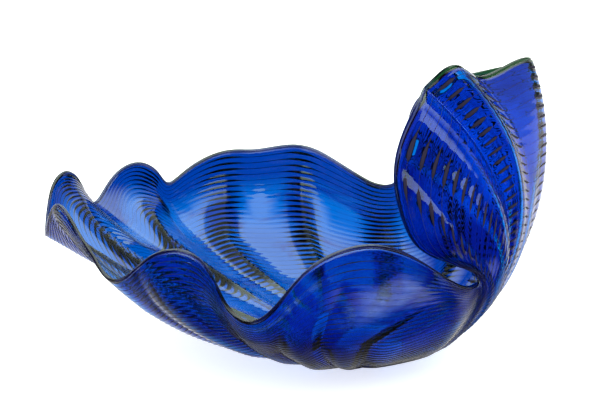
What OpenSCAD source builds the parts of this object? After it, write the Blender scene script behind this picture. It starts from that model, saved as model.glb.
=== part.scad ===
// Ruffled art glass bowl: a blown, ribbed wall pulled into a wide dish of
// ruffles and a tall curled wing, with a trail of dark glass round its lip,
// a dark thread wound round its outside and a ground base disc.
// Millimetres. The origin is the centre of the flat base, +X points from the
// dish to the wing, +Y to the back wall and +Z up.

/* [Bowl] */
// Width from the far ruffle of the dish to the outside of the wing
width = 500; // [300:1:700]
// Depth of the ruffles, as a share of the full folds
ruffle_depth = 1.0; // [0.4:0.05:1.1]
// Wall thickness just above the base
wall_base = 7.5; // [4:0.1:12]
// Wall thickness at the lip
wall_lip = 3.2; // [2:0.1:6]

/* [Optic ribs] */
// Height of each rib over the wall's outside
rib_height = 1.4; // [0:0.1:3]
// Height of each rib over the wall's inside
rib_inside = 2.0; // [0:0.1:3]
// How far the wall bows out between ribs, where it does so most
flute_depth = 8; // [0:0.5:10]

/* [Lip wrap] */
// Thickness of the trail of glass along the rim
lip_thickness = 4.0; // [3:0.1:8]

/* [Thread wrap] */
// Turns of the wound thread
thread_turns = 12; // [4:1:14]
// Width of the thread where it lies on the wall
thread_width = 2.0; // [1:0.1:5]
// How far the thread stands out of the wall
thread_height = 0.6; // [0.3:0.1:2]

/* [Base] */
// Diameter of the ground base disc
base_diameter = 68; // [50:1:90]

/* [View] */
// Piece to make, or all

/* [Hidden] */

k = width / 500;                  // the tables below are for a 500 mm bowl
foot_ring = 4;                    // flat ring of wall round the base disc
base_r = base_diameter / 2;
wall_r = base_r + foot_ring;      // where the wall leaves the foot
seam = 0.05;                      // wall's hole over the disc's radius
steps = 3;                        // facets of wall per control column
rows = 15;                        // facets of wall from foot to lip
lip_sides = 6;
rib_fade = 0.3;                   // ribs grow to full height over this share
thread_from = 0.22;               // share of the wall where the thread starts
thread_to = 0.97;                 // and where it runs out, below the lip

// Rim control points round the mouth: from the foot of the wing's front edge
// along the front to the left, back along the rear wall and over the wing.
RIM = [
    [107, -82, 109], [90, -99, 109], [60, -124, 137], [24, -147, 166],
    [-8, -158, 174], [-42, -165, 166], [-68, -166, 144], [-88, -162, 116],
    [-110, -152, 98], [-132, -143, 110], [-148, -140, 142], [-172, -138, 162],
    [-202, -128, 153], [-226, -108, 127], [-247, -88, 115], [-268, -68, 135],
    [-287, -47, 160], [-307, -26, 166], [-320, 4, 122], [-319, 32, 155],
    [-306, 56, 171], [-296, 86, 152], [-284, 108, 120], [-268, 128, 140],
    [-240, 143, 153], [-219, 155, 137], [-208, 165, 121], [-186, 173, 137],
    [-148, 184, 153], [-115, 187, 152], [-72, 187, 159], [-40, 178, 151],
    [0, 157, 133], [35, 135, 130], [47, 108, 175], [50, 84, 228],
    [78, 68, 263], [124, 52, 280], [157, 4, 304], [140, -24, 312],
    [104, -50, 301], [80, -72, 321], [62, -70, 308], [52, -58, 294],
    [46, -76, 286], [32, -76, 255], [25, -78, 220], [29, -82, 188],
    [44, -86, 150], [72, -84, 132], [97, -80, 121]
];

// Angle round the base where each column starts: [column, degrees]
BASE_ANGLE = [
    [0, -40], [1, -48], [8, -118], [14, -150], [20, -190], [26, -225],
    [30, -250], [33, -285], [38, -350], [41, -368], [46, -385], [51, -400]
];

// Points that the wall passes through in the wing and in the fold at its front
// foot: [column, a third of the way from foot to lip, two thirds of the way]
WING = [
    [0, [79, -69, 39], [104, -87, 87]],
    [1, [70, -77, 38], [92, -97, 81]],
    [2, [60, -87, 38], [72, -116, 86]],
    [32, [6, 91, 24], [5, 142, 64]],
    [33, [45, 83, 29], [52, 125, 72]],
    [34, [72, 76, 38], [85, 111, 100]],
    [35, [93, 66, 49], [111, 96, 134]],
    [36, [108, 53, 54], [135, 77, 153]],
    [37, [119, 38, 58], [158, 57, 164]],
    [38, [125, 15, 59], [172, 15, 171]],
    [39, [126, -3, 60], [168, -15, 176]],
    [40, [124, -16, 61], [156, -37, 175]],
    [41, [121, -29, 64], [147, -58, 184]],
    [42, [118, -36, 63], [138, -65, 179]],
    [43, [114, -41, 62], [131, -66, 171]],
    [44, [111, -46, 60], [132, -80, 162]],
    [45, [107, -49, 57], [129, -85, 150]],
    [46, [103, -52, 53], [127, -88, 136]],
    [47, [99, -54, 50], [124, -88, 122]],
    [48, [95, -57, 47], [121, -87, 110]],
    [49, [90, -60, 44], [117, -85, 102]],
    [50, [85, -64, 41], [113, -85, 96]]
];

// Sag of the belly under the front left ruffle: [column, drop]
BELLY_DROP = [[8, 0], [9, 6], [10, 10], [11, 18], [12, 28], [13, 26], [14, 12], [15, 0]];

// The optic mould's ribs: the column that each one passes at the shares RIB_T
// of the way from foot to lip
RIB_T = [0.2, 0.4, 0.6, 0.8, 1];
RIBS = [
    [4.8, 4.4, 3.7, 1.9, 1.0], [6.2, 6.1, 5.8, 4.9, 4.2], [8.4, 8.4, 8.2, 7.4, 6.8],
    [10.4, 10.4, 10.4, 10.3, 10.4], [12.2, 12.2, 12.3, 12.5, 12.6],
    [14.2, 14.2, 14.3, 14.6, 14.8], [16.4, 16.4, 16.5, 16.8, 17.0],
    [18.4, 18.6, 19.0, 20.3, 20.6], [22.2, 22.5, 22.6, 24.8, 24.5],
    [26.9, 27.0, 27.2, 28.0, 28.2], [30.4, 30.3, 30.2, 30.2, 30.3],
    [32.6, 32.5, 32.4, 32.4, 32.3], [34.6, 34.6, 34.6, 34.6, 34.5],
    [36.6, 36.6, 36.6, 36.5, 36.4], [39.0, 39.4, 39.4, 38.7, 38.2],
    [40.8, 40.8, 40.5, 40.3, 40.6], [42.6, 42.4, 41.9, 41.8, 41.7],
    [45.4, 45.3, 45.4, 45.5, 45.4], [48.8, 48.8, 48.8, 48.2, 46.0],
    [50.4, 50.4, 50.4, 50.2, 49.4]
];
// Half a rib's width, as a share of the way to the next: [column, share]
RIB_HALF = [[34, 0.33], [37, 0.24], [49, 0.24], [51, 0.33]];
// How strongly the wall bows out between ribs: [column, share], and up the wall
FLUTES = [[0, 0], [4, 0.6], [7, 1], [34, 1], [37, 0.6], [41, 0.4], [42.5, 0], [51, 0]];
FLUTE_RISE = [[0.1, 0], [0.4, 1], [0.8, 0.8], [1, 0.25]];
RIDGE_RISE = [[0.1, 0], [0.3, 1], [0.6, 1], [0.8, 0.4], [1, 0]];

// The back wall stands upright about its middle column
back_column = 28;
back_columns = 5;

n = len(RIM);
cols = n * steps;

function wrap(i) = (i % n + n) % n;
function xy(p) = [p[0], p[1]];
function unit(v) = v / norm(v);
function clamp(v) = max(-1, min(1, v));

// Rim with its ruffles smoothed away, and the rim at the chosen ruffle depth
function blur(P) = [for (i = [0:n - 1])
    (P[wrap(i - 2)] + 2 * P[wrap(i - 1)] + 3 * P[i] + 2 * P[wrap(i + 1)] + P[wrap(i + 2)]) / 9];
smooth_rim = blur(blur(RIM));
rim = [for (i = [0:n - 1]) smooth_rim[i] + ruffle_depth * (RIM[i] - smooth_rim[i])];

// The four control rings: foot, belly, shoulder and lip
function foot(i) = let (a = lookup(i, BASE_ANGLE))
    [wall_r * cos(a), wall_r * sin(a), wall_base / 2];
function back(i) = sqrt(max(0, 1 - abs(i - back_column) / back_columns));
function run(i) = xy(smooth_rim[i]) - xy(foot(i));
function dish_belly(i) = let (
        a = lookup(i, BASE_ANGLE), d = run(i), l = norm(d),
        q = xy(foot(i)) + 0.24 * d + 0.18 * l * [cos(a), sin(a)])
    [q[0], q[1], 0.13 * l + 2];
function dish_shoulder(i) = let (
        d = run(i), l = norm(d), fold = rim[i] - smooth_rim[i],
        f = (0.94 + 0.13 * clamp(fold[2] / 22)) * (1 - back(i)) + 1.13 * back(i),
        h = 0.46 * (1 - back(i)) + 0.22 * back(i),
        q = xy(foot(i)) + f * d + 0.6 * xy(fold))
    [q[0], q[1], f * h * l - lookup(i, BELLY_DROP)];
function wing_row(i) = search(i, WING)[0];
function third(i, w) = 27 * WING[w][1] - 8 * foot(i) - rim[i];
function two_thirds(i, w) = 27 * WING[w][2] - foot(i) - 8 * rim[i];
function belly(i) = let (w = wing_row(i)) is_undef(w) ? dish_belly(i)
    : (2 * third(i, w) - two_thirds(i, w)) / 18;
function shoulder(i) = let (w = wing_row(i)) is_undef(w) ? dish_shoulder(i)
    : (2 * two_thirds(i, w) - third(i, w)) / 18;

// Spline control points that make the curve pass through the given ones
function bend(P) = [for (i = [0:n - 1])
    P[i] - (P[wrap(i - 1)] - 2 * P[i] + P[wrap(i + 1)]) / 6];
function settle(P, Q) = [for (i = [0:n - 1])
    Q[i] + P[i] - (Q[wrap(i - 1)] + 4 * Q[i] + Q[wrap(i + 1)]) / 6];
function through(P) = settle(P, bend(P));
net = [
    through([for (i = [0:n - 1]) foot(i)]),
    through([for (i = [0:n - 1]) belly(i)]),
    through([for (i = [0:n - 1]) shoulder(i)]),
    through(rim)
];

// Periodic cubic B-spline along a control ring, and a cubic across the rings
function along(P, s) = let (i = floor(s), t = s - i, u = 1 - t)
    (u * u * u * P[wrap(i - 1)] + (3 * t * t * t - 6 * t * t + 4) * P[wrap(i)]
    + (3 * u * u * u - 6 * u * u + 4) * P[wrap(i + 1)] + t * t * t * P[wrap(i + 2)]) / 6;
function mid(s, t) = let (u = 1 - t)
    u * u * u * along(net[0], s) + 3 * u * u * t * along(net[1], s)
    + 3 * u * t * t * along(net[2], s) + t * t * t * along(net[3], s);

// Outward unit normal of the middle surface
ds = 0.05;
dt = 0.01;
function out(s, t) = let (a = min(1, t + dt), b = max(0, t - dt))
    unit(cross(mid(s, a) - mid(s, b), mid(s + ds, t) - mid(s - ds, t)));

// How many ribs lie before column s, rising evenly from each rib to the next
function turn(s) = s - n * floor(s / n);
function crossed(t) = [for (r = RIBS) lookup(t, [for (j = [0:len(RIB_T) - 1]) [RIB_T[j], r[j]]])];
function closed(c) = [c[len(c) - 1] - n, each c, c[0] + n];
function share(s, a, b) = max(0, min(1, (s - a) / (b - a)));
ones = [for (r = RIBS) 1, 1];
function ribs_before(s, t) = let (c = closed(crossed(t)))
    [for (j = [0:len(c) - 2]) share(turn(s), c[j], c[j + 1])] * ones;

// 1 on a rib's crest and 0 beyond its edges
function rib(s, t) = let (
        q = ribs_before(s, t), gap = min(1, abs(q - round(q)) / lookup(turn(s), RIB_HALF)))
    pow(1 - gap, 2) * (1 + 2 * gap);
function flute(s, t) = flute_depth * lookup(turn(s), FLUTES) * lookup(t, FLUTE_RISE)
    * abs(sin(180 * ribs_before(s, t)));

// The wall's two faces
function wall(t) = wall_lip + (wall_base - wall_lip) * pow(1 - t, 2);
function outside(s, t, h = 0) = mid(s, t) + (wall(t) / 2 + flute(s, t) + h
    + rib_height * min(1, t / rib_fade) * rib(s, t)) * out(s, t);
function inside(s, t) = mid(s, t) - (wall(t) / 2 - flute(s, t)
    + rib_inside * lookup(t, RIDGE_RISE) * pow(rib(s, t), 2)) * out(s, t);

// Share of the wall at which it stops short of the lip trail's centre
function stop(s) = 1 - 0.8 * lip_thickness / 2 / norm(mid(s, 1) - mid(s, 0.98)) * 0.02;

// Faces of a grid of rings that closes on itself both ways
function torus_faces(r, c) = [for (j = [0:r - 1], i = [0:c - 1]) let (
        a = j * c + i, b = j * c + (i + 1) % c,
        d = ((j + 1) % r) * c + i, e = ((j + 1) % r) * c + (i + 1) % c)
    each [[a, b, e], [a, e, d]]];

// Faces of a tube of rings with a flat cap at each end
function tube_faces(r, c) = [
    each [for (j = [0:r - 2], i = [0:c - 1]) let (
            a = j * c + i, b = j * c + (i + 1) % c, d = a + c, e = b + c)
        each [[a, b, e], [a, e, d]]],
    [for (i = [c - 1:-1:0]) i],
    [for (i = [0:c - 1]) (r - 1) * c + i]
];

function flat(p, z) = [p[0], p[1], z];

module bowl_shell()
    color([0.03, 0.12, 0.6, 0.6]) scale(k) {
        hole = base_r / k + seam;
        ring = [for (c = [0:cols - 1]) let (s = c / steps, u = unit(xy(mid(s, 0)))) flat(hole * u, 0)];
        points = [
            each ring,
            each [for (c = [0:cols - 1]) flat(outside(c / steps, 0), 0)],
            each [for (j = [1:rows], c = [0:cols - 1]) let (s = c / steps)
                outside(s, min(j / rows, stop(s)))],
            each [for (j = [rows:-1:0], c = [0:cols - 1]) let (s = c / steps)
                inside(s, min(j / rows, stop(s)))],
            each [for (p = ring) flat(p, wall_base)]
        ];
        polyhedron(points, torus_faces(2 * rows + 4, cols), convexity = 12);
    }

module lip_wrap()
    color([0.03, 0.06, 0.05, 0.95]) scale(k) {
        points = [for (c = [0:cols - 1]) let (
                s = c / steps, w = out(s, 1), up = unit(mid(s, 1) - mid(s, 0.98)))
            each [for (q = [0:lip_sides - 1]) let (a = 360 * q / lip_sides + 30)
                mid(s, 1) + flute(s, 1) * w + lip_thickness / 2 * (cos(a) * w - sin(a) * up)]];
        polyhedron(points, torus_faces(cols, lip_sides), convexity = 12);
    }

module thread_wrap()
    color([0.1, 0.07, 0.06, 0.95]) scale(k) {
        count = thread_turns * cols;
        points = [for (c = [0:count]) let (
                s = c / steps, t = thread_from + (thread_to - thread_from) * c / count,
                sunk = 0.3, w = thread_width / 2 / norm(mid(s, t) - mid(s, t - dt)) * dt)
            each [outside(s, t + w, -sunk), outside(s, t, thread_height), outside(s, t - w, -sunk)]];
        polyhedron(points, tube_faces(count + 1, 3), convexity = 12);
    }

module base_disc()
    color([0.3, 0.4, 0.65, 0.6]) scale(k) {
        r = base_r / k;
        crown = 1;
        cylinder(r = r, h = wall_base - crown, $fn = 96);
        translate([0, 0, wall_base - crown]) cylinder(r1 = r, r2 = r - 6, h = crown, $fn = 96);
    }

bowl_shell();
lip_wrap();
thread_wrap();
base_disc();
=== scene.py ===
"""A ruffled art glass bowl: blown ribbed wall, lip wrap, wound thread and ground base disc.

The wall's shape is worked out here as in the CAD, at a finer resolution, and scaled to the frame.
"""
import math

import bpy
import numpy as np
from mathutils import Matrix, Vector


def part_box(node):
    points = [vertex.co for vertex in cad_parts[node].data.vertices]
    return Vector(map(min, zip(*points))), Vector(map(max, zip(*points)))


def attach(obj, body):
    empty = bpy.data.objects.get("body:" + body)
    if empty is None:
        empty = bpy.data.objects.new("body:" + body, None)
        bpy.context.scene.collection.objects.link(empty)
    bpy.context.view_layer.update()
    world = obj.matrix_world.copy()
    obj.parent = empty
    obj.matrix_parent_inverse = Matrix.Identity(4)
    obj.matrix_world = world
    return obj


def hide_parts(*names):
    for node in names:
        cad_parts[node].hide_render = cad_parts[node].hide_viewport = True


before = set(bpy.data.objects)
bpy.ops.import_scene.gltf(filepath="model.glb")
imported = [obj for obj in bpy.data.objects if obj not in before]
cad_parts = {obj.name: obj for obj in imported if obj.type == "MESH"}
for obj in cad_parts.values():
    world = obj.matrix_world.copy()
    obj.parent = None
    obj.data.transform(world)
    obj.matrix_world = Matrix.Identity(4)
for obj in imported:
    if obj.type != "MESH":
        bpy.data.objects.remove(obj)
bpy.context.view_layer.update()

# ---------------------------------------------------------------- shape, in CAD millimetres
WALL_BASE, WALL_LIP = 7.5, 3.2
BASE_R, FOOT_RING, SEAM = 34, 4, 0.05
LIP = 4.0
RIB_HEIGHT = 1.4

# Rim control points round the mouth, from the wing's front foot along the front,
# back along the rear wall and over the wing.
RIM = np.array([
    [107, -82, 109], [90, -99, 109], [60, -124, 137], [24, -147, 166],
    [-8, -158, 174], [-42, -165, 166], [-68, -166, 144], [-88, -162, 116],
    [-110, -152, 98], [-132, -143, 110], [-148, -140, 142], [-172, -138, 162],
    [-202, -128, 153], [-226, -108, 127], [-247, -88, 115], [-268, -68, 135],
    [-287, -47, 160], [-307, -26, 166], [-320, 4, 122], [-319, 32, 155],
    [-306, 56, 171], [-296, 86, 152], [-284, 108, 120], [-268, 128, 140],
    [-240, 143, 153], [-219, 155, 137], [-208, 165, 121], [-186, 173, 137],
    [-148, 184, 153], [-115, 187, 152], [-72, 187, 159], [-40, 178, 151],
    [0, 157, 133], [35, 135, 130], [47, 108, 175], [50, 84, 228],
    [78, 68, 263], [124, 52, 280], [157, 4, 304], [140, -24, 312],
    [104, -50, 301], [80, -72, 321], [62, -70, 308], [52, -58, 294],
    [46, -76, 286], [32, -76, 255], [25, -78, 220], [29, -82, 188],
    [44, -86, 150], [72, -84, 132], [97, -80, 121],
], float)
N = len(RIM)

# Angle round the base where each column starts: column, degrees
BASE_ANGLE = np.array([
    (0, -40), (1, -48), (8, -118), (14, -150), (20, -190), (26, -225),
    (30, -250), (33, -285), (38, -350), (41, -368), (46, -385), (51, -400),
], float)

# Points the wall passes through in the wing and the fold at its foot:
# column, a third of the way from foot to lip, two thirds of the way
WING = [
    (0, (79, -69, 39), (104, -87, 87)), (1, (70, -77, 38), (92, -97, 81)),
    (2, (60, -87, 38), (72, -116, 86)), (32, (6, 91, 24), (5, 142, 64)),
    (33, (45, 83, 29), (52, 125, 72)), (34, (72, 76, 38), (85, 111, 100)),
    (35, (93, 66, 49), (111, 96, 134)), (36, (108, 53, 54), (135, 77, 153)),
    (37, (119, 38, 58), (158, 57, 164)), (38, (125, 15, 59), (172, 15, 171)),
    (39, (126, -3, 60), (168, -15, 176)), (40, (124, -16, 61), (156, -37, 175)),
    (41, (121, -29, 64), (147, -58, 184)), (42, (118, -36, 63), (138, -65, 179)),
    (43, (114, -41, 62), (131, -66, 171)), (44, (111, -46, 60), (132, -80, 162)),
    (45, (107, -49, 57), (129, -85, 150)), (46, (103, -52, 53), (127, -88, 136)),
    (47, (99, -54, 50), (124, -88, 122)), (48, (95, -57, 47), (121, -87, 110)),
    (49, (90, -60, 44), (117, -85, 102)), (50, (85, -64, 41), (113, -85, 96)),
]
# How far the shoulder ring is lowered under the front left ruffle: column, drop
BELLY_DROP = np.array([(8, 0), (9, 6), (10, 10), (11, 18), (12, 28), (13, 26), (14, 12), (15, 0)], float)

# The optic mould's ribs: the column that each one passes at RIB_T, on its way from foot to lip
RIB_T = [0.2, 0.4, 0.6, 0.8, 1.0]
RIBS = np.array([
    [4.8, 4.4, 3.7, 1.9, 1.0], [6.2, 6.1, 5.8, 4.9, 4.2], [8.4, 8.4, 8.2, 7.4, 6.8],
    [10.4, 10.4, 10.4, 10.3, 10.4], [12.2, 12.2, 12.3, 12.5, 12.6], [14.2, 14.2, 14.3, 14.6, 14.8],
    [16.4, 16.4, 16.5, 16.8, 17.0], [18.4, 18.6, 19.0, 20.3, 20.6], [22.2, 22.5, 22.6, 24.8, 24.5],
    [26.9, 27.0, 27.2, 28.0, 28.2], [30.4, 30.3, 30.2, 30.2, 30.3], [32.6, 32.5, 32.4, 32.4, 32.3],
    [34.6, 34.6, 34.6, 34.6, 34.5], [36.6, 36.6, 36.6, 36.5, 36.4], [39.0, 39.4, 39.4, 38.7, 38.2],
    [40.8, 40.8, 40.5, 40.3, 40.6], [42.6, 42.4, 41.9, 41.8, 41.7], [45.4, 45.3, 45.4, 45.5, 45.4],
    [48.8, 48.8, 48.8, 48.2, 46.0], [50.4, 50.4, 50.4, 50.2, 49.4],
])
# Half of a rib's width, as a share of the way to the next rib: column, share
RIB_HALF = np.array([(34, 0.33), (37, 0.24), (49, 0.24), (51, 0.33)])
# How strongly the wall between ribs bows out: column, share of FLUTE_DEPTH
FLUTES = np.array([(0, 0), (4, 0.6), (7, 1), (34, 1), (37, 0.6), (41, 0.4), (42.5, 0), (51, 0)], float)
FLUTE_DEPTH, RIDGE = 8.0, 2.0
# How that bow, and the ridge inside each rib, grow up the wall: share of the wall, share of the depth
FLUTE_RISE = np.array([(0.1, 0), (0.4, 1), (0.8, 0.8), (1, 0.25)])
RIDGE_RISE = np.array([(0.1, 0), (0.3, 1), (0.6, 1), (0.8, 0.4), (1, 0)])
RIB_FADE = 0.3      # ribs grow to full height over this share of the wall

# How dense the colour is: column, density; and the pale wisps, paler glass painted where a
# reflection of the bright floor falls, a painted reflection: column, height, half width, half height, slope
# of the wisp's axis
DENSITY = np.array([
    (0, 1.0), (1.5, 0.8), (3, 0.15), (14, 0.15), (18, 0.8), (20, 1), (33, 1),
    (36, 0.1), (46, 0.05), (49, 0.6), (51, 1.0),
])
PAINTED_REFLECTION_WISPS = [(3.4, 0.83, 1.9, 0.07, -0.06), (7.2, 0.93, 2.6, 0.022, 0.0), (10.0, 0.84, 0.9, 0.09, 0.0),
         (16.8, 0.93, 0.5, 0.04, 0.0)]


BLUR = (1, 2, 3, 2, 1)                  # weights of a rim point's neighbours
BACK_COLUMN, BACK_COLUMNS = 28, 5       # middle of the upright back wall, and its half width
FOLD_RISE = 22                          # a ruffle that lifts the rim by this much leans out fully


def blur(p):
    return sum(w * np.roll(p, k, axis=0) for w, k in zip(BLUR, range(-2, 3))) / sum(BLUR)


def control_rings():
    """The four control rings: foot, belly, shoulder and lip."""
    smooth = blur(blur(RIM))
    col = np.arange(N)
    a = np.radians(np.interp(col, *BASE_ANGLE.T))
    ray = np.stack([np.cos(a), np.sin(a)], axis=1)
    foot = np.column_stack([(BASE_R + FOOT_RING) * ray, np.full(N, WALL_BASE / 2)])
    run = smooth[:, :2] - foot[:, :2]
    length = np.linalg.norm(run, axis=1, keepdims=True)
    fold = RIM - smooth
    upright = np.sqrt(np.clip(1 - np.abs(col - BACK_COLUMN) / BACK_COLUMNS, 0, 1))[:, None]
    lean = 0.94 + 0.13 * np.clip(fold[:, 2:] / FOLD_RISE, -1, 1)
    reach = lean * (1 - upright) + 1.13 * upright
    rise = 0.46 * (1 - upright) + 0.22 * upright
    belly = np.hstack([foot[:, :2] + 0.24 * run + 0.18 * length * ray, 0.13 * length + 2])
    drop = np.interp(col, *BELLY_DROP.T)[:, None]
    shoulder = np.hstack([foot[:, :2] + reach * run + 0.6 * fold[:, :2], reach * rise * length - drop])
    for i, third, two_thirds in WING:
        p = 27 * np.array(third) - 8 * foot[i] - RIM[i]
        q = 27 * np.array(two_thirds) - foot[i] - 8 * RIM[i]
        belly[i], shoulder[i] = (2 * p - q) / 18, (2 * q - p) / 18
    return [through(ring) for ring in (foot, belly, shoulder, RIM)]


def through(p):
    """Spline control points that make the curve pass through the given ones."""
    q = p - (np.roll(p, 1, 0) - 2 * p + np.roll(p, -1, 0)) / 6
    return q + p - (np.roll(q, 1, 0) + 4 * q + np.roll(q, -1, 0)) / 6


NET = control_rings()


def along(ring, s):
    """Points of one ring's closed spline at these columns."""
    i = np.floor(s).astype(int)
    t = (s - i)[..., None]
    u = 1 - t
    return (u**3 * ring[(i - 1) % N] + (3 * t**3 - 6 * t**2 + 4) * ring[i % N]
            + (3 * u**3 - 6 * u**2 + 4) * ring[(i + 1) % N] + t**3 * ring[(i + 2) % N]) / 6


def middle(s, t):
    """Points of the wall's middle surface; s is the column and t runs from foot to lip."""
    s, t = np.broadcast_arrays(np.asarray(s, float), np.asarray(t, float))
    u, v = 1 - t[..., None], t[..., None]
    a, b, c, d = (along(ring, s) for ring in NET)
    return u**3 * a + 3 * u * u * v * b + 3 * u * v * v * c + v**3 * d


STEP_S, STEP_T = 0.05, 0.01             # steps for the surface's slopes


def outward(s, t):
    """Unit vectors square to the wall, pointing out of the bowl."""
    s, t = np.asarray(s), np.asarray(t)
    up = middle(s, np.minimum(t + STEP_T, 1)) - middle(s, np.maximum(t - STEP_T, 0))
    side = middle(s + STEP_S, t) - middle(s - STEP_S, t)
    n = np.cross(up, side)
    return n / np.linalg.norm(n, axis=-1, keepdims=True)


def thickness(t):
    return WALL_LIP + (WALL_BASE - WALL_LIP) * (1 - t) ** 2


def rib_count(s, t):
    """How many ribs lie before column s at height t, rising evenly from each rib to the next."""
    s, t = np.broadcast_arrays(np.asarray(s, float) % N, np.asarray(t, float))
    at = np.stack([np.interp(t, RIB_T, r) for r in RIBS])
    at = np.concatenate([at[-1:] - N, at, at[:1] + N])
    count = np.zeros(s.shape)
    for k in range(len(at) - 1):
        count += np.clip((s - at[k]) / (at[k + 1] - at[k]), 0, 1)
    return count


def rib(s, t):
    """1 on a rib's crest, falling to 0 at its edges."""
    k = rib_count(s, t)
    gap = np.abs(k - np.round(k)) / np.interp(s % N, *RIB_HALF.T)
    return np.clip(1 - gap, 0, 1) ** 2 * (1 + 2 * np.clip(gap, 0, 1))


def density(s, t):
    """How deep the colour is: thinner on the floor, the front, the wing and between the back's ribs."""
    wing = np.clip(np.interp(s, [35, 37, 50, 51], [0, 1, 1, 0]), 0, 1)
    floor_part = np.clip((0.72 - t) / 0.1, 0, 1)
    lobes = np.interp(s, [17, 19, 33, 35], [0, 1, 1, 0])
    middle_part = np.interp(t, [0.62, 0.7, 0.8, 0.9], [0, 1, 1, 0]) * (1 - rib(s, t))
    front_low = np.interp(s, [2, 4, 8, 10, 15, 17], [0, 0.9, 0.9, 0.4, 0.4, 0])
    front_low = front_low * np.interp(t, [0.65, 0.87], [1, 0])
    wing_foot = np.interp(s, [33, 34, 37, 39], [0, 1, 1, 0]) * np.interp(t, [0.5, 0.65], [1, 0])
    wing_rim = wing * np.clip((t - 0.86) / 0.12, 0, 1)
    plain = np.interp(s, *DENSITY.T) * (1 - 0.3 * floor_part) * (1 - 0.5 * lobes * middle_part)
    return plain + 0.9 * np.maximum(front_low, wing_foot) + 0.35 * wing_rim


def painted_reflection_wisp(s, t):
    """1 in the middle of a painted reflection wisp, paler glass standing in for a reflection of the bright
    floor, falling to 0 at its edge.
    """
    most = np.zeros(np.broadcast(s, t).shape)
    for s0, t0, across, tall, slope in PAINTED_REFLECTION_WISPS:
        r2 = ((s - s0) / across) ** 2 + ((t - t0 - slope * (s - s0)) / tall) ** 2
        most = np.maximum(most, np.clip(1.2 * (1 - r2), 0, 1))
    return most


def flute(s, t):
    """How far the wall bows out between ribs."""
    depth = FLUTE_DEPTH * np.interp(np.asarray(s) % N, *FLUTES.T)
    return depth * np.interp(t, *FLUTE_RISE.T) * np.abs(np.sin(np.pi * rib_count(s, t)))


def outside(s, t, h=0.0):
    """Points of the wall's outer face, or h above it."""
    r = RIB_HEIGHT * np.minimum(1, t / RIB_FADE) * rib(s, t)
    return middle(s, t) + (thickness(t) / 2 + r + h + flute(s, t))[..., None] * outward(s, t)


def inside(s, t):
    """Points of the wall's inner face."""
    ridge = RIDGE * np.interp(t, *RIDGE_RISE.T) * rib(s, t) ** 2
    return middle(s, t) - (thickness(t) / 2 + ridge - flute(s, t))[..., None] * outward(s, t)


# Metres per CAD millimetre, from the base disc in the frame
disc_low, disc_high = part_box("base_disc")
MM = (disc_high[0] - disc_low[0]) / (2 * BASE_R)


# ---------------------------------------------------------------- meshes
def mesh_object(name, points, faces, smooth=True):
    mesh = bpy.data.meshes.new(name)
    mesh.from_pydata(points.tolist(), [], faces)
    mesh.polygons.foreach_set("use_smooth", [smooth] * len(mesh.polygons))
    mesh.update()
    made = bpy.data.objects.new(name, mesh)
    bpy.context.scene.collection.objects.link(made)
    return made


def give_uv(made, name, uv):
    """Lays one uv per point of a mesh of quads; a face over the seam runs on to 1, not back to 0."""
    mesh = made.data
    corner = np.empty(len(mesh.loops), int)
    mesh.loops.foreach_get("vertex_index", corner)
    face_uv = uv[corner].reshape(-1, 4, 2)
    across = face_uv[:, :, 0]
    wraps = across.max(1) - across.min(1) > 0.5
    across[wraps[:, None] & (across < 0.5)] += 1
    layer = mesh.uv_layers.new(name=name)
    layer.data.foreach_set("uv", face_uv.astype(np.float32).ravel())


def give_values(made, name, values):
    """Stores one number per point under this name, for the material to read."""
    store = made.data.attributes.new(name, "FLOAT", "POINT").data
    store.foreach_set("value", values.ravel().astype(np.float32))


def torus_quads(rings, cols):
    j, i = np.meshgrid(np.arange(rings), np.arange(cols), indexing="ij")
    a, b = j * cols + i, j * cols + (i + 1) % cols
    d, e = ((j + 1) % rings) * cols + i, ((j + 1) % rings) * cols + (i + 1) % cols
    return np.stack([a, d, e, b], -1).reshape(-1, 4).tolist()


def tube_quads(rings, cols):
    j, i = np.meshgrid(np.arange(rings - 1), np.arange(cols), indexing="ij")
    a, b = j * cols + i, j * cols + (i + 1) % cols
    return np.stack([a, a + cols, b + cols, b], -1).reshape(-1, 4).tolist()


PER_COLUMN = 10
COLS = N * PER_COLUMN
ROWS = 80
NEAR_LIP = 0.98         # from here to the lip gives the wall's direction at the rim
WALL_STOP = 0.016       # scales how far short of the lip's middle the wall stops


def build_shell():
    s = np.arange(COLS) / PER_COLUMN
    t = (np.arange(ROWS + 1) / ROWS)[:, None]
    top = 1 - WALL_STOP * LIP / 2 / np.linalg.norm(middle(s, 1.0) - middle(s, NEAR_LIP), axis=-1)
    t = np.minimum(t, top)
    foot_xy = middle(s, 0.0)[:, :2]
    ray = foot_xy / np.linalg.norm(foot_xy, axis=1, keepdims=True)
    hole = np.column_stack([(BASE_R + SEAM) * ray, np.zeros(COLS)])
    outer, inner = outside(s, t), inside(s, t)
    outer[0, :, 2] = 0
    points = np.concatenate([hole[None], outer, inner[::-1], (hole + [0, 0, WALL_BASE])[None]])
    made = mesh_object("glass_wall", points.reshape(-1, 3) * MM, torus_quads(len(points), COLS))
    v = np.concatenate([[np.zeros(COLS)], t, t[::-1], [np.zeros(COLS)]])
    give_uv(made, "wall", np.stack([np.broadcast_to(s / N, v.shape), v], -1).reshape(-1, 2))
    # The wisp values are painted reflection: paler glass where a reflection of the bright floor falls.
    for name, rule in (("rib", rib), ("depth_of_colour", density), ("painted_reflection_wisp", painted_reflection_wisp)):
        give_values(made, name, rule(np.broadcast_to(s, v.shape), v))
    return made


LIP_SIDES = 12
LIP_PER_COLUMN = 12
# Painted backlight: the lip is painted green over the wing, standing in for light shining through it from
# behind.
BACKLIT_GREEN_COLUMNS = [35.5, 37, 42, 43.5]    # the lip is green over the wing


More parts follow.
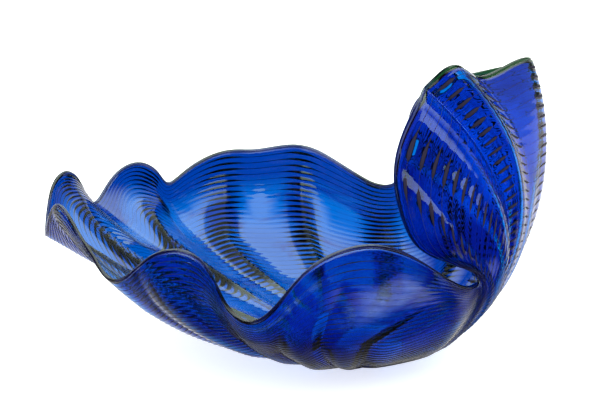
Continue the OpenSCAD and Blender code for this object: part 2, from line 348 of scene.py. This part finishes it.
def build_lip():
    rings = N * LIP_PER_COLUMN
    s = (np.arange(rings) / LIP_PER_COLUMN)[:, None]
    a = np.radians(np.arange(LIP_SIDES) * 360 / LIP_SIDES)[None, :, None]
    w = outward(s, 1.0)
    up = middle(s, 1.0) - middle(s, NEAR_LIP)
    up /= np.linalg.norm(up, axis=-1, keepdims=True)
    swell = 1 + 0.06 * np.sin(s * 2.3)[..., None] + 0.04 * np.sin(s * 5.1 + 1)[..., None]
    centre = middle(s, 1.0) + flute(s, 1.0)[..., None] * w
    points = centre + LIP / 2 * swell * (np.cos(a) * w - np.sin(a) * up)
    made = mesh_object("lip_trail", points.reshape(-1, 3) * MM, torus_quads(rings, LIP_SIDES))
    # Painted backlight: green over the wing stands in for light shining through the lip from behind.
    give_values(made, "backlit_green", np.interp(s + 0 * a[:, :, 0], BACKLIT_GREEN_COLUMNS, [0, 1, 1, 0]))
    return made


TURNS = 30
THREAD_FROM, THREAD_TO = 0.27, 0.985
PITCH = (THREAD_TO - THREAD_FROM) / TURNS
THREAD_SINK = 0.25      # how deep the thread's edges lie in the wall
THREAD_SIDES = 4


def thread_width(s, t, wing):
    """Half the thread's width as a share of the wall: a hairline, and wider where it crosses a rib."""
    on_rib = rib(s, t) * np.interp(t, [0.25, 0.4, 0.62, 0.7, 1], [0.3, 1.3, 1.3, 0.75, 0.45])
    on_rib *= np.interp(s % N, [17, 19, 35, 38, 50, 51], [0.25, 1, 1, 1.0, 1.0, 0.25])
    on_rib = on_rib * (1 - wing) + wing * 0.55 * np.minimum(1, 1.5 * rib(s, t))
    front = np.interp(s % N, [1, 2, 8, 9], [0, 1, 1, 0])
    near_rim = np.clip((t - 0.82) / 0.1, 0, 1)
    thin = (0.012 + 0.03 * near_rim) * (1 - 0.6 * np.maximum(front, wing))
    return PITCH * (thin + 0.30 * on_rib) * (1 + 0.12 * np.sin(s * 1.7) + 0.08 * np.sin(s * 4.3))


def build_thread():
    count = TURNS * COLS
    c = np.arange(count + 1)
    s, t = c / PER_COLUMN, THREAD_FROM + (THREAD_TO - THREAD_FROM) * c / count
    wing = np.interp(s % N, [35, 38, 49, 51], [0, 1, 1, 0])
    w = thread_width(s, t, wing)
    h = 0.2 + 0.15 * rib(s, t) * (1 - 0.9 * wing)
    rows = [outside(s, t + w, -THREAD_SINK), outside(s, t + 0.5 * w, h),
            outside(s, t - 0.5 * w, h), outside(s, t - w, -THREAD_SINK)]
    points = np.stack(rows, 1).reshape(-1, 3)
    last = count * THREAD_SIDES
    ends = [[0, 1, 2, 3], [last + k for k in (3, 2, 1, 0)]]
    made = mesh_object("wound_thread", points * MM, tube_quads(count + 1, THREAD_SIDES) + ends)
    give_values(made, "wing", np.repeat(wing, THREAD_SIDES))
    return made


shell = build_shell()
lip = build_lip()
thread = build_thread()


# ---------------------------------------------------------------- materials
class Tree:
    """The node tree of a material or world, emptied here and then built by these methods."""

    def __init__(self, owner):
        owner.use_nodes = True
        self.nodes = owner.node_tree.nodes
        self.links = owner.node_tree.links
        self.nodes.clear()

    def feed(self, socket, value):
        """Links a node's output to the socket, or sets the socket to a plain value."""
        if isinstance(value, bpy.types.NodeSocket):
            self.links.new(value, socket)
        else:
            socket.default_value = value

    def add(self, kind, sets=(), **inputs):
        """Adds a node, sets its properties and feeds its inputs: i0 is the first one."""
        made = self.nodes.new(kind)
        for key, value in dict(sets).items():
            setattr(made, key, value)
        for key, value in inputs.items():
            self.feed(made.inputs[int(key[1:])], value)
        return made

    def calc(self, op, *values):
        inputs = {f"i{k}": v for k, v in enumerate(values)}
        return self.add("ShaderNodeMath", {"operation": op}, **inputs).outputs[0]

    def ramp(self, value, low, high, to_low=0.0, to_high=1.0):
        return self.add("ShaderNodeMapRange", {"interpolation_type": "SMOOTHSTEP"}, i0=value,
                        i1=low, i2=high, i3=to_low, i4=to_high).outputs[0]

    def band(self, value, low, high, soft):
        """1 between low and high, falling to 0 over the soft edges."""
        rise = self.ramp(value, low - soft, low + soft)
        return self.calc("MULTIPLY", rise, self.ramp(value, high + soft, high - soft))

    def mix(self, share, low, high):
        return self.add("ShaderNodeMix", {"data_type": "RGBA"}, i0=share, i6=low, i7=high).outputs[2]

    def noise(self, place, scale, detail, roughness, distortion=0.0):
        return self.add("ShaderNodeTexNoise", i0=place, i2=scale, i3=detail, i4=roughness,
                        i8=distortion).outputs[0]

    def stretched(self, place, scale):
        return self.add("ShaderNodeMapping", i0=place, i3=scale).outputs[0]

    def split(self, vector):
        return self.add("ShaderNodeSeparateXYZ", i0=vector).outputs

    def attribute(self, name):
        return self.add("ShaderNodeAttribute", {"attribute_name": name}).outputs["Fac"]

    def cloud(self, scale, detail, roughness):
        """Noise in the piece's own coordinates."""
        place = self.add("ShaderNodeTexCoord").outputs["Object"]
        return self.noise(place, scale, detail, roughness)

    def principled(self, inputs):
        """A principled shader with these inputs, by name."""
        made = self.nodes.new("ShaderNodeBsdfPrincipled")
        for name, value in inputs.items():
            self.feed(made.inputs[name], value)
        return made.outputs[0]

    def finish_surface(self, shader):
        self.add("ShaderNodeOutputMaterial", i0=shader)


BUMP_DEPTH = 0.00013    # metres
# The pale wall colour is painted reflection, used in the wisps where a reflection of the bright floor
# falls.
WALL_THIN, WALL_DEEP, WALL_REFLECTION_PALE = (0.0, 0.21, 0.78, 1), (0.0, 0.038, 0.33, 1), (0.3, 0.45, 0.8, 1)
# The lip's green is painted backlight, for light shining through the lip over the wing.
LIP_DARK, LIP_LIGHT, LIP_BACKLIT_GREEN = (0.012, 0.025, 0.11, 1), (0.06, 0.075, 0.20, 1), (0.008, 0.06, 0.018, 1)
THREAD_DARK, THREAD_LIGHT = (0.004, 0.003, 0.006, 1), (0.012, 0.007, 0.008, 1)
THREAD_ON_WING = (0.022, 0.018, 0.045, 1)
BASE_DEEP, BASE_PALE = (0.10, 0.28, 0.72, 1), (0.17, 0.38, 0.82, 1)


def wall_glass():
    """Cobalt with pale wisps painted where a reflection of the bright floor falls (painted reflection),
    rippled by the thread's turns, with dimmer shine on the ribs' bands as painted shade for the dark
    surroundings mirrored there.
    """
    m = bpy.data.materials.new("cobalt wall glass")
    tree = Tree(m)
    uv = tree.add("ShaderNodeUVMap", {"uv_map": "wall"}).outputs[0]
    across, upward = tree.split(uv)[0:2]
    streak = tree.noise(tree.stretched(uv, (30.0, 34.0, 1.0)), 1.0, 4.0, 0.65)
    cloud = tree.noise(tree.stretched(uv, (22.0, 9.0, 1.0)), 1.0, 3.0, 0.6, 0.8)
    on_rib = tree.attribute("rib")

    dense = tree.calc("ADD", tree.attribute("depth_of_colour"), tree.ramp(cloud, 0.5, 0.75, 0.0, 0.5))
    blue = tree.mix(dense, WALL_THIN, WALL_DEEP)
    # Painted reflection: the wisps make the glass paler where a reflection of the bright floor falls.
    pale = tree.calc("MULTIPLY", tree.attribute("painted_reflection_wisp"), tree.ramp(streak, 0.3, 0.6))

    turn = tree.calc("DIVIDE", tree.calc("SUBTRACT", upward, THREAD_FROM), PITCH)
    ripple = tree.calc("COSINE", tree.calc("MULTIPLY", tree.calc("SUBTRACT", turn, across), 2 * math.pi))
    swell = tree.calc("MULTIPLY", ripple, tree.ramp(on_rib, 0.0, 0.6, 0.35, 1.0))
    front = tree.band(across, 2 / N, 9 / N, 0.03)
    swell = tree.calc("MULTIPLY", swell, tree.calc("SUBTRACT", 1.0, tree.calc("MULTIPLY", front, 0.8)))
    uneven = tree.calc("MULTIPLY", tree.calc("SUBTRACT", streak, 0.5), 0.8)
    bump = tree.add("ShaderNodeBump", i0=1.0, i1=BUMP_DEPTH, i3=tree.calc("ADD", swell, uneven))

    # Painted shade: the ribs' bands reflect less, standing in for the dark surroundings mirrored in them.
    painted_shade_band = tree.calc("MULTIPLY", tree.ramp(on_rib, 0.25, 0.5), tree.band(upward, 0.34, 0.8, 0.04))
    tree.finish_surface(tree.principled({
        "Base Color": tree.mix(pale, blue, WALL_REFLECTION_PALE),
        "Normal": bump.outputs[0],
        "Specular Tint": tree.ramp(painted_shade_band, 0.0, 1.0, 1.0, 0.2),
        "Roughness": 0.0,
        "IOR": 1.5,
        "Transmission Weight": 1.0,
    }))
    return m


def lip_glass():
    m = bpy.data.materials.new("dark lip glass")
    tree = Tree(m)
    dark = tree.mix(tree.ramp(tree.cloud(25.0, 2.0, 0.5), 0.35, 0.65), LIP_DARK, LIP_LIGHT)
    tree.finish_surface(tree.principled({
        # Painted backlight: the lip turns green over the wing, where light shines through it from behind.
        "Base Color": tree.mix(tree.attribute("backlit_green"), dark, LIP_BACKLIT_GREEN),
        "Roughness": 0.02,
        "Transmission Weight": 1.0,
    }))
    return m


def thread_glass():
    m = bpy.data.materials.new("dark thread glass")
    tree = Tree(m)
    cloud = tree.cloud(60.0, 3.0, 0.6)
    dark = tree.mix(tree.ramp(cloud, 0.35, 0.65), THREAD_DARK, THREAD_LIGHT)
    on_wing = tree.calc("MULTIPLY", tree.attribute("wing"), 0.8)
    tree.finish_surface(tree.principled({
        "Base Color": tree.mix(on_wing, dark, THREAD_ON_WING),
        "Roughness": tree.ramp(cloud, 0.3, 0.7, 0.45, 0.6),
        "Specular IOR Level": 0.08,
    }))
    return m


def base_glass():
    m = bpy.data.materials.new("ground base glass")
    tree = Tree(m)
    cloud = tree.cloud(45.0, 4.0, 0.6)
    tree.finish_surface(tree.principled({
        "Base Color": tree.mix(tree.ramp(cloud, 0.35, 0.65), BASE_DEEP, BASE_PALE),
        "Roughness": tree.ramp(cloud, 0.3, 0.7, 0.04, 0.14),
        "Transmission Weight": 1.0,
    }))
    return m


shell.data.materials.append(wall_glass())
lip.data.materials.append(lip_glass())
thread.data.materials.append(thread_glass())

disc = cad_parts["base_disc"]
disc_glass = base_glass()
for slot in disc.material_slots:
    slot.material = disc_glass

for piece, node_name, slot in ((shell, "bowl_shell", "blue_glass"), (lip, "lip_wrap", "lip_glass"),
                               (thread, "thread_wrap", "thread_glass")):
    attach(piece, "root")
    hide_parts(node_name)


# ---------------------------------------------------------------- stage, light and camera
DEG = math.pi / 180
# What reflections see. Each patch: from and to sideways, from and to in height, soft edge, all in
# degrees, and its strength. Sideways, 0 is in front of the bowl and + is to the right.
KEY_LIGHT = (-18, 18, -12, 60, 10, 3.0)
RIGHT_STRIP = (60, 110, -20, 60, 12, 0.6)
LEFT_HAZE = (-100, -32, -30, 50, 6, 0.3)
HAZE_COLOUR = (0.45, 0.2, 0.45, 1)
BACKDROP, OVERHEAD, ROOM = 1.3, 4.0, 0.01
ROOM_TINT = 0.85                        # red and blue of the room, as a share of its green
WHITE = (1.45, 1.45, 1.45, 1)           # what the camera sees, directly or through the glass


def patch(tree, sideways, height, row):
    left, right, low, high, soft, strength = row
    across = tree.band(sideways, left * DEG, right * DEG, soft * DEG)
    upward = tree.band(height, low * DEG, high * DEG, soft * DEG)
    return tree.calc("MULTIPLY", tree.calc("MULTIPLY", across, upward), strength)


def light_world():
    world = bpy.data.worlds.new("studio")
    bpy.context.scene.world = world
    tree = Tree(world)
    xyz = tree.split(tree.add("ShaderNodeTexCoord").outputs["Generated"])
    sideways = tree.calc("ARCTAN2", xyz[0], tree.calc("MULTIPLY", xyz[1], -1.0))
    height = tree.calc("ARCSINE", xyz[2])

    behind = tree.ramp(tree.calc("ABSOLUTE", sideways), 110 * DEG, 140 * DEG)
    backdrop = tree.calc("MULTIPLY", behind, tree.ramp(height, 60 * DEG, 45 * DEG))
    white = tree.calc("MULTIPLY", backdrop, BACKDROP)
    for row in (KEY_LIGHT, RIGHT_STRIP):
        white = tree.calc("MAXIMUM", white, patch(tree, sideways, height, row))
    overhead = tree.calc("MULTIPLY", tree.ramp(height, 22 * DEG, 58 * DEG), OVERHEAD)
    room = tree.calc("ADD", tree.calc("MAXIMUM", white, overhead), ROOM)
    tinted = tree.calc("MULTIPLY", room, ROOM_TINT)
    grey = tree.add("ShaderNodeCombineXYZ", i0=tinted, i1=room, i2=tinted).outputs[0]
    haze = tree.mix(patch(tree, sideways, height, LEFT_HAZE), (0, 0, 0, 1), HAZE_COLOUR)
    studio = tree.add("ShaderNodeVectorMath", {"operation": "ADD"}, i0=grey, i1=haze).outputs[0]

    path = tree.add("ShaderNodeLightPath").outputs
    plain = tree.calc("MAXIMUM", path["Is Camera Ray"], path["Is Transmission Ray"])
    plain = tree.calc("MAXIMUM", plain, path["Is Diffuse Ray"])
    light = tree.add("ShaderNodeBackground", i0=tree.mix(plain, studio, WHITE), i1=1.0).outputs[0]
    tree.add("ShaderNodeOutputWorld", i0=light)


def floor_white():
    """A white floor that reflections see as darker in front, with a bright card at the front right."""
    m = bpy.data.materials.new("pale floor")
    tree = Tree(m)
    at = tree.split(tree.add("ShaderNodeNewGeometry").outputs["Position"])
    card = tree.calc("MULTIPLY", tree.band(at[0], 0.05, 0.28, 0.05), tree.band(at[1], -0.31, -0.21, 0.03))
    shine = tree.calc("ADD", tree.ramp(at[1], -0.17, 0.03, 0.03, 1.3), tree.calc("MULTIPLY", card, 1.4))
    sheen = tree.add("ShaderNodeEmission", i1=shine).outputs[0]
    matt = tree.principled({
        "Base Color": (0.85, 0.85, 0.85, 1),
        "Roughness": 0.6,
        "Emission Color": (1, 1, 1, 1),
        "Emission Strength": 0.6,
    })
    glossy = tree.add("ShaderNodeLightPath").outputs["Is Glossy Ray"]
    tree.finish_surface(tree.add("ShaderNodeMixShader", i0=glossy, i1=matt, i2=sheen).outputs[0])
    return m


light_world()

FLOOR = 5               # half its width in metres
floor_corners = [(-FLOOR, -FLOOR, 0), (FLOOR, -FLOOR, 0), (FLOOR, FLOOR, 0), (-FLOOR, FLOOR, 0)]
floor = mesh_object("floor", np.array(floor_corners, float), [[0, 1, 2, 3]], smooth=False)
floor.data.materials.append(floor_white())

# The camera looks down on this point from the front, in metres
AIM = np.array([-0.065, 0, 0.154])
TILT, DISTANCE = math.radians(20), 1.667
camera = bpy.data.cameras.new("camera")
camera.lens, camera.sensor_width = 100, 36
eye = bpy.data.objects.new("camera", camera)
eye.location = AIM + DISTANCE * np.array([0, -math.cos(TILT), math.sin(TILT)])
eye.rotation_euler = (math.radians(90) - TILT, 0, 0)
bpy.context.scene.collection.objects.link(eye)
bpy.context.scene.camera = eye
bpy.context.scene.view_settings.view_transform = "Standard"
